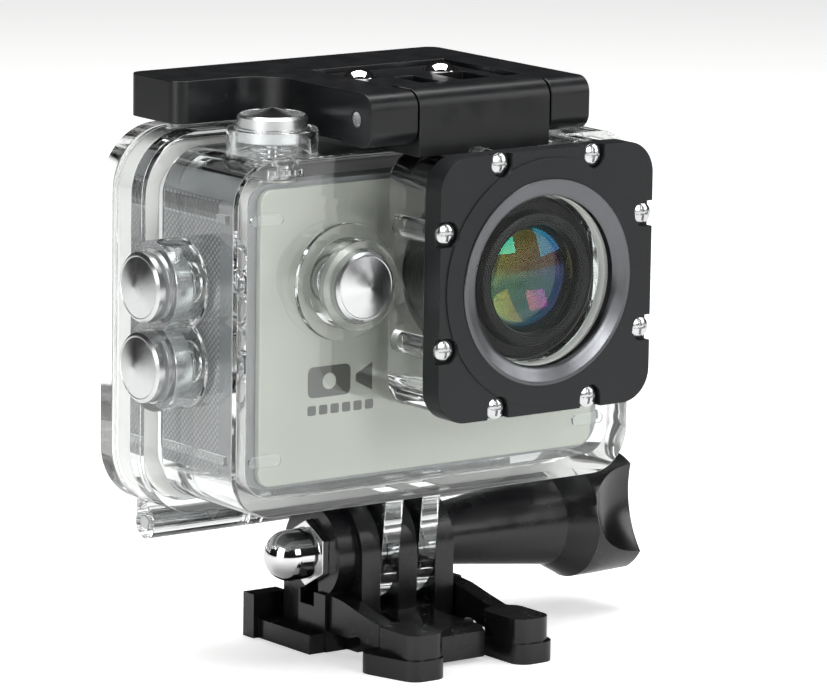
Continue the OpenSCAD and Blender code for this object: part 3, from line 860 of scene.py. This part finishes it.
@dataclass
class Port:
    """The square lens port: bezel, ring, screws and window."""

    bench: Bench
    edge: float = 0.6

    def build(self) -> None:
        """Makes the port's visible pieces."""
        self.bench.copy_of("lens_bezel", BEZEL, self.edge, 4)
        self.bench.copy_of("bezel_screws", ZINC, 0.08, 2)
        self.bench.dress("port_glass", WINDOW)
        self.ring()

    def ring(self) -> None:
        """The grey ring, turned with two fine steps down its inner slope."""
        low, high = self.bench.span("lens_ring")
        centre = (low + high) / 2
        outer = (high.x - low.x) / 2
        depth = high.y - low.y
        profile = [
            (outer - 0.02, 0.0), (outer - 0.02, depth - 0.12), (outer - 0.14, depth - 0.01),
            (13.55, depth - 0.01), (13.4, depth - 0.06), (12.9, depth - 0.3), (12.4, depth - 0.46),
            (12.0, depth - 0.62), (11.75, depth - 0.78), (11.6, depth - 0.92), (11.53, 0.0),
        ]
        foot = Vector((centre.x, high.y, centre.z))
        piece = turned("lens_ring_turned", profile, foot, Axis.FRONT, RING, 128)
        self.bench.stand_in(piece, "lens_ring")


@dataclass
class Latch:
    """The lever on its cross pin, the fixed block and its two rivets."""

    bench: Bench

    def build(self) -> None:
        """Dresses the latch."""
        self.bench.copy_of("latch_lever", LATCH_ABS, 0.6, 3)
        self.bench.copy_of("latch_base", LATCH_ABS, 0.35, 3)
        self.bench.copy_of("latch_rivets", CHROME, 0.1, 2)
        self.bench.dress("latch_pin", STAINLESS)


@dataclass
class Button:
    """One push button: spun cap, stem and spring."""

    bench: Bench
    name: str
    axis: Axis
    cone: float = 0.8
    travel: float = 1.1

    def build(self) -> None:
        """Makes the cap and the spring, and dresses the stem."""
        self.cap()
        self.spring()
        self.bench.dress(f"{self.name}_stem", ZINC)

    def reach(self, node: str) -> tuple[Vector, float, float]:
        """Foot point, radius and length of a turned node along the button's axis."""
        low, high = self.bench.span(node)
        centre = (low + high) / 2
        size = high - low
        if self.axis is Axis.FRONT:
            return Vector((centre.x, high.y, centre.z)), size.x / 2, size.y
        if self.axis is Axis.LEFT:
            return Vector((high.x, centre.y, centre.z)), size.y / 2, size.x
        return Vector((centre.x, centre.y, low.z)), size.x / 2, size.z

    def cap(self) -> None:
        """The cap: a skirt, a bright chamfer, a narrow lip and a shallow spun cone."""
        foot, radius, length = self.reach(f"{self.name}_cap")
        rim = length - self.cone
        profile = [
            (0.0, 0.0), (radius - 0.1, 0.0), (radius, 0.1), (radius, rim - 0.35), (radius - 0.35, rim),
            (radius - 0.5, rim + 0.02), (radius - 0.6, rim - 0.04), (radius * 0.5, rim + self.cone * 0.42),
            (0.25, length - 0.03), (0.0, length - 0.02),
        ]
        piece = turned(f"{self.name}_cap_spun", profile, foot, self.axis, spun(self.axis), 128)
        self.bench.stand_in(piece, f"{self.name}_cap")

    def spring(self) -> None:
        """The return spring as a real helix."""
        foot, radius, length = self.reach(f"{self.name}_spring")
        wire = 0.1
        inputs = {"Turns": 2.5, "Radius": radius - wire, "Height": length - 2 * wire, "Wire": wire}
        raised = Matrix.Translation(foot) @ self.axis.turn() @ Matrix.Translation((0, 0, wire))
        piece = grown(f"{self.name}_spring_coil", ZINC, inputs, grow_spring, raised)
        self.bench.stand_in(piece, f"{self.name}_spring")
        way = self.axis.turn() @ Vector((0, 0, 1))
        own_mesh(piece)


@dataclass
class Optics:
    """The lens barrel with its retainer, coated lenses and light traps."""

    bench: Bench

    def build(self) -> None:
        """Makes the barrel and everything in it."""
        low, high = self.bench.span("lens_barrel")
        self.axis_point = Vector(((low.x + high.x) / 2, 0.0, (low.z + high.z) / 2))
        self.barrel(low.y, high.y)
        self.lens("front_element", FRONT_LENS, 0.9)
        self.lens("rear_element", REAR_LENS_DARK_SHADE, 0.3)
        self.middle()
        self.retainer()
        self.trap()

    def at(self, depth: float) -> Vector:
        """A point on the lens axis at a given Y."""
        return Vector((self.axis_point.x, depth, self.axis_point.z))

    def barrel(self, front: float, back: float) -> None:
        """Black barrel with a rounded rim and a stepped bore."""
        length = back - front
        shade = length - 2.15
        profile = [
            (3.6, 0.0), (9.6, 0.0), (9.6, 8.35), (11.15, 8.35), (11.15, shade), (11.0, shade + 0.3),
            (10.7, shade + 0.48), (9.35, shade + 0.48), (9.25, shade + 0.6), (9.1, length - 0.5),
            (8.95, length - 0.15), (8.7, length - 0.02), (8.0, length),
            (7.85, length - 0.1), (7.8, length - 0.3),
            (7.8, length - 4.45), (6.4, length - 4.45), (6.4, 10.6), (4.2, 7.4), (3.6, 7.4),
        ]
        piece = turned("lens_barrel_turned", profile, self.at(back), Axis.FRONT, BLACK_METAL)
        self.bench.stand_in(piece, "lens_barrel")

    def lens(self, node: str, finish: Finish, hollow: float) -> None:
        """A ground lens: a convex front and a hollow back.

        Args:
            node: The CAD node it stands for.
            finish: Its coated glass.
            hollow: Depth of the hollow back, in millimetres.
        """
        low, high = self.bench.span(node)
        radius = (high.x - low.x) / 2
        thick = high.y - low.y
        bulge = {"front_element": 1.4, "rear_element": 0.8}[node]
        steps = 18
        front = [
            (radius * i / steps, thick - bulge * (i / steps) ** 2) for i in range(steps + 1)
        ]
        back = [(radius * i / steps, hollow * (1 - (i / steps) ** 2)) for i in range(steps, -1, -1)]
        profile = front + [(radius, 0.02)] + back[1:]
        piece = turned(f"{node}_ground", profile, self.at(high.y), Axis.FRONT, finish, 128)
        self.bench.stand_in(piece, node)

    def middle(self) -> None:
        """The second lens: hollow to the front, which mirrors the lamps upside down."""
        _, high = self.bench.span("front_element")
        steps = 16
        radius, dip = 5.75, 1.5
        front = [(radius * i / steps, 0.6 + dip * (i / steps) ** 2) for i in range(steps + 1)]
        profile = front + [(radius, 0.3), (radius - 0.3, 0.0), (0.0, 0.0)]
        piece = turned("middle_lens", profile, self.at(high.y + 2.3), Axis.FRONT, MIDDLE_LENS_PINK_REFLECTION, 96)
        self.bench.hang(piece, "front_element")

    def retainer(self) -> None:
        """Threaded ring that holds the front lens, with a fine bright edge."""
        low, high = self.bench.span("lens_retainer")
        depth = high.y - low.y
        profile = [
            (7.38, 0.0), (7.78, 0.0), (7.78, depth), (7.62, depth),
            (7.56, depth - 0.08), (7.45, depth - 0.35), (7.38, depth - 0.5),
        ]
        piece = turned("lens_retainer_turned", profile, self.at(high.y), Axis.FRONT, BLACK_METAL)
        self.bench.stand_in(piece, "lens_retainer")

    def trap(self) -> None:
        """Fine rings down the inner cone, which catch stray light."""
        self.bench.dress("inner_ring", BLACK_METAL)
        _, high = self.bench.span("inner_ring")
        inputs = {"Count": 7, "Pitch": 0.42, "Radius": 4.75, "Narrowing": -0.2, "Wire": 0.1}
        place = Matrix.Translation(self.at(high.y - 0.2)) @ Axis.FRONT.turn()
        piece = grown("light_trap_rings", BLACK_METAL, inputs, grow_rings, place)
        self.bench.hang(piece, "inner_ring")


@dataclass
class CameraBody:
    """The camera inside the housing: casing, faceplate, grips, print, screen and inner parts."""

    bench: Bench

    def build(self) -> None:
        """Makes the camera's visible pieces and dresses the hidden ones."""
        self.bench.copy_of("camera_shell", CASING, 0.3, 2)
        self.bench.copy_of("camera_back", CAMERA_BACK, 0.3, 2)
        self.bench.copy_of("faceplate", FACE_PAINT, 0.18, 2)
        self.bench.dress("side_grips", GRIP)
        self.bench.copy_of("screen", SCREEN, 0.15, 2)
        for key in ("power_key", "shutter_key", "up_key", "down_key"):
            self.bench.copy_of(key, FACE_PAINT, 0.2, 2)
        for node, finish in (
            ("image_sensor", PACKAGE), ("main_board", BOARD), ("battery", SLEEVE),
            ("battery_door", CAMERA_BACK), ("memory_card", PACKAGE),
        ):
            self.bench.dress(node, finish)
        self.knurls()
        self.print_marks()

    def knurls(self) -> None:
        """A strip of fine upright ridges across the top of each side panel."""
        low, high = self.bench.span("side_grips")
        length = high.y - low.y - 1.2
        pitch = 0.75
        count = int(length / pitch) + 1
        inputs = {"Count": count, "Pitch": pitch, "Length": 1.9, "Radius": 0.3}
        strips = []
        for side, x in (("left", low.x), ("right", high.x)):
            across = Matrix.Rotation(math.pi / 2, 4, "Z")
            place = Matrix.Translation((x, low.y + 0.6, high.z - 1.4)) @ across
            strips.append(grown(f"grip_ridges_{side}", KNURL, inputs, grow_ridges, place))
        self.bench.hang(joined("grip_ridges", strips), "side_grips")

    def print_marks(self) -> None:
        """Generic print on the faceplate: a small camera sign and a row of dashes."""
        face = self.bench.span("faceplate")[0].y
        front, back = face - 0.03, face + 0.01
        centre = (-16.6, 39.4)
        hood = [(-12.2, 38.9), (-9.5, 37.5), (-9.5, 41.3), (-12.2, 39.9)]
        marks = [
            slab("mark", round_box(7.0, 4.2, 0.9, centre), front, back, INK),
            slab("hood", hood, front, back, INK),
        ]
        for i in range(6):
            start = -20.1 + i * 1.89
            marks.append(slab("dash", round_box(1.35, 1.3, 0.25, (start + 0.68, 35.6)), front, back, INK))
        self.bench.hang(joined("printed_sign", marks), "faceplate")
        eye = round_box(2.2, 2.2, 1.09, centre)
        self.bench.hang(slab("printed_sign_eye", eye, front - 0.02, front, FACE_PAINT), "faceplate")


@dataclass
class Studio:
    """Floor, soft lights and the camera."""

    azimuth: float = -36.739
    elevation: float = 10.608
    roll: float = 0.833
    distance: float = 801.0
    target: tuple[float, float, float] = (0.0, -10.3, 51.0)
    offset: tuple[float, float] = (-1.559, -9.093)
    lens: float = 258.6

    def build(self) -> None:
        """Sets the whole studio."""
        self.floor()
        self.world()
        self.softbox("top_softbox", (40, 60, 640), (0, 0, 40), (640, 520), 6.0)
        self.softbox("left_softbox", (-640, -160, 240), (0, 0, 45), (380, 480), 2.2)
        self.softbox("right_softbox", (560, -420, 300), (0, 0, 45), (300, 420), 1.6)
        self.softbox("front_softbox", (110, -740, 330), (0, 0, 45), (320, 300), 2.6)
        self.camera()

    def floor(self) -> None:
        """A plain pale floor."""
        work = bmesh.new()
        bmesh.ops.create_grid(work, x_segments=1, y_segments=1, size=4.0)
        mesh = bpy.data.meshes.new("floor")
        work.to_mesh(mesh)
        work.free()
        pale = FloorFinish(
            "pale_floor", "#f4f4f3", 0.7, grain=Grain(4.0, 0.01), drift=0.005, rough_spread=0.02
        )
        new_object("floor", mesh, pale)

    def world(self) -> None:
        """An even pale surround."""
        world = bpy.data.worlds.new("studio")
        world.use_nodes = True
        tree = world.node_tree
        height = add(tree, "ShaderNodeSeparateXYZ", {0: add(tree, "ShaderNodeTexCoord").outputs["Generated"]})
        glow = add(
            tree,
            "ShaderNodeMapRange",
            {"Value": height.outputs["Z"], "From Min": 0.0, "From Max": 0.8, "To Min": 0.16, "To Max": 0.5},
        )
        ray = add(tree, "ShaderNodeLightPath")
        lifted = add(
            tree,
            "ShaderNodeMath",
            {0: glow.outputs["Result"], 1: ray.outputs["Is Camera Ray"]},
            operation="MAXIMUM",
        )
        tree.links.new(lifted.outputs[0], tree.nodes["Background"].inputs["Strength"])
        bpy.context.scene.world = world

    def softbox(
        self, name: str, place: Sequence[float], aim: Sequence[float], size: tuple[float, float], watts: float
    ) -> None:
        """A rectangular lamp that looks at a point.

        Args:
            name: The lamp's name.
            place: Its centre, in millimetres.
            aim: The point it looks at.
            size: Its width and height.
            watts: Its power.
        """
        data = bpy.data.lights.new(name, "AREA")
        data.shape = "RECTANGLE"
        data.size, data.size_y = size[0] * MM, size[1] * MM
        data.energy = watts
        lamp = bpy.data.objects.new(name, data)
        lamp.location = Vector(place) * MM
        lamp.rotation_euler = (Vector(aim) - Vector(place)).to_track_quat("-Z", "Y").to_euler()
        bpy.context.scene.collection.objects.link(lamp)

    def camera(self) -> None:
        """The camera at the front left, a little above, far off with a long lens."""
        turn, tilt, roll = (math.radians(v) for v in (self.azimuth, self.elevation, self.roll))
        back = Vector((math.sin(turn) * math.cos(tilt), -math.cos(turn) * math.cos(tilt), math.sin(tilt)))
        level = Vector((math.cos(turn), math.sin(turn), 0.0))
        upright = back.cross(level)
        right = level * math.cos(roll) + upright * math.sin(roll)
        up = back.cross(right)
        data = bpy.data.cameras.new("camera")
        data.lens = self.lens
        data.sensor_width = 36.0
        data.clip_end = 50.0
        thing = bpy.data.objects.new("camera", data)
        where = Vector(self.target) + back * self.distance + right * self.offset[0] + up * self.offset[1]
        axes = Matrix((right, up, back)).transposed().to_4x4()
        thing.matrix_world = Matrix.Translation(where * MM) @ axes
        bpy.context.scene.collection.objects.link(thing)
        bpy.context.scene.camera = thing


def main() -> None:
    """Builds every piece around the frame."""
    logging.basicConfig(level=logging.INFO, format="%(name)s: %(message)s")
    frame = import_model()
    bench = Bench(frame)
    Studio().build()
    Clamp(bench).build()
    Housing(bench).build()
    Port(bench).build()
    Latch(bench).build()
    for name, axis in (("front", Axis.FRONT), ("top", Axis.UP), ("up", Axis.LEFT), ("down", Axis.LEFT)):
        Button(bench, name, axis).build()
    Optics(bench).build()
    CameraBody(bench).build()
    scene = bpy.context.scene
    scene.view_settings.view_transform = "Standard"
    scene.cycles.caustics_reflective = False
    scene.cycles.caustics_refractive = False
    scene.cycles.max_bounces = 32
    scene.cycles.glossy_bounces = 20
    scene.cycles.transmission_bounces = 28
    scene.cycles.transparent_max_bounces = 32
    LOG.info("%d pieces made", len(bench.made))


if __name__ == "__main__":
    main()
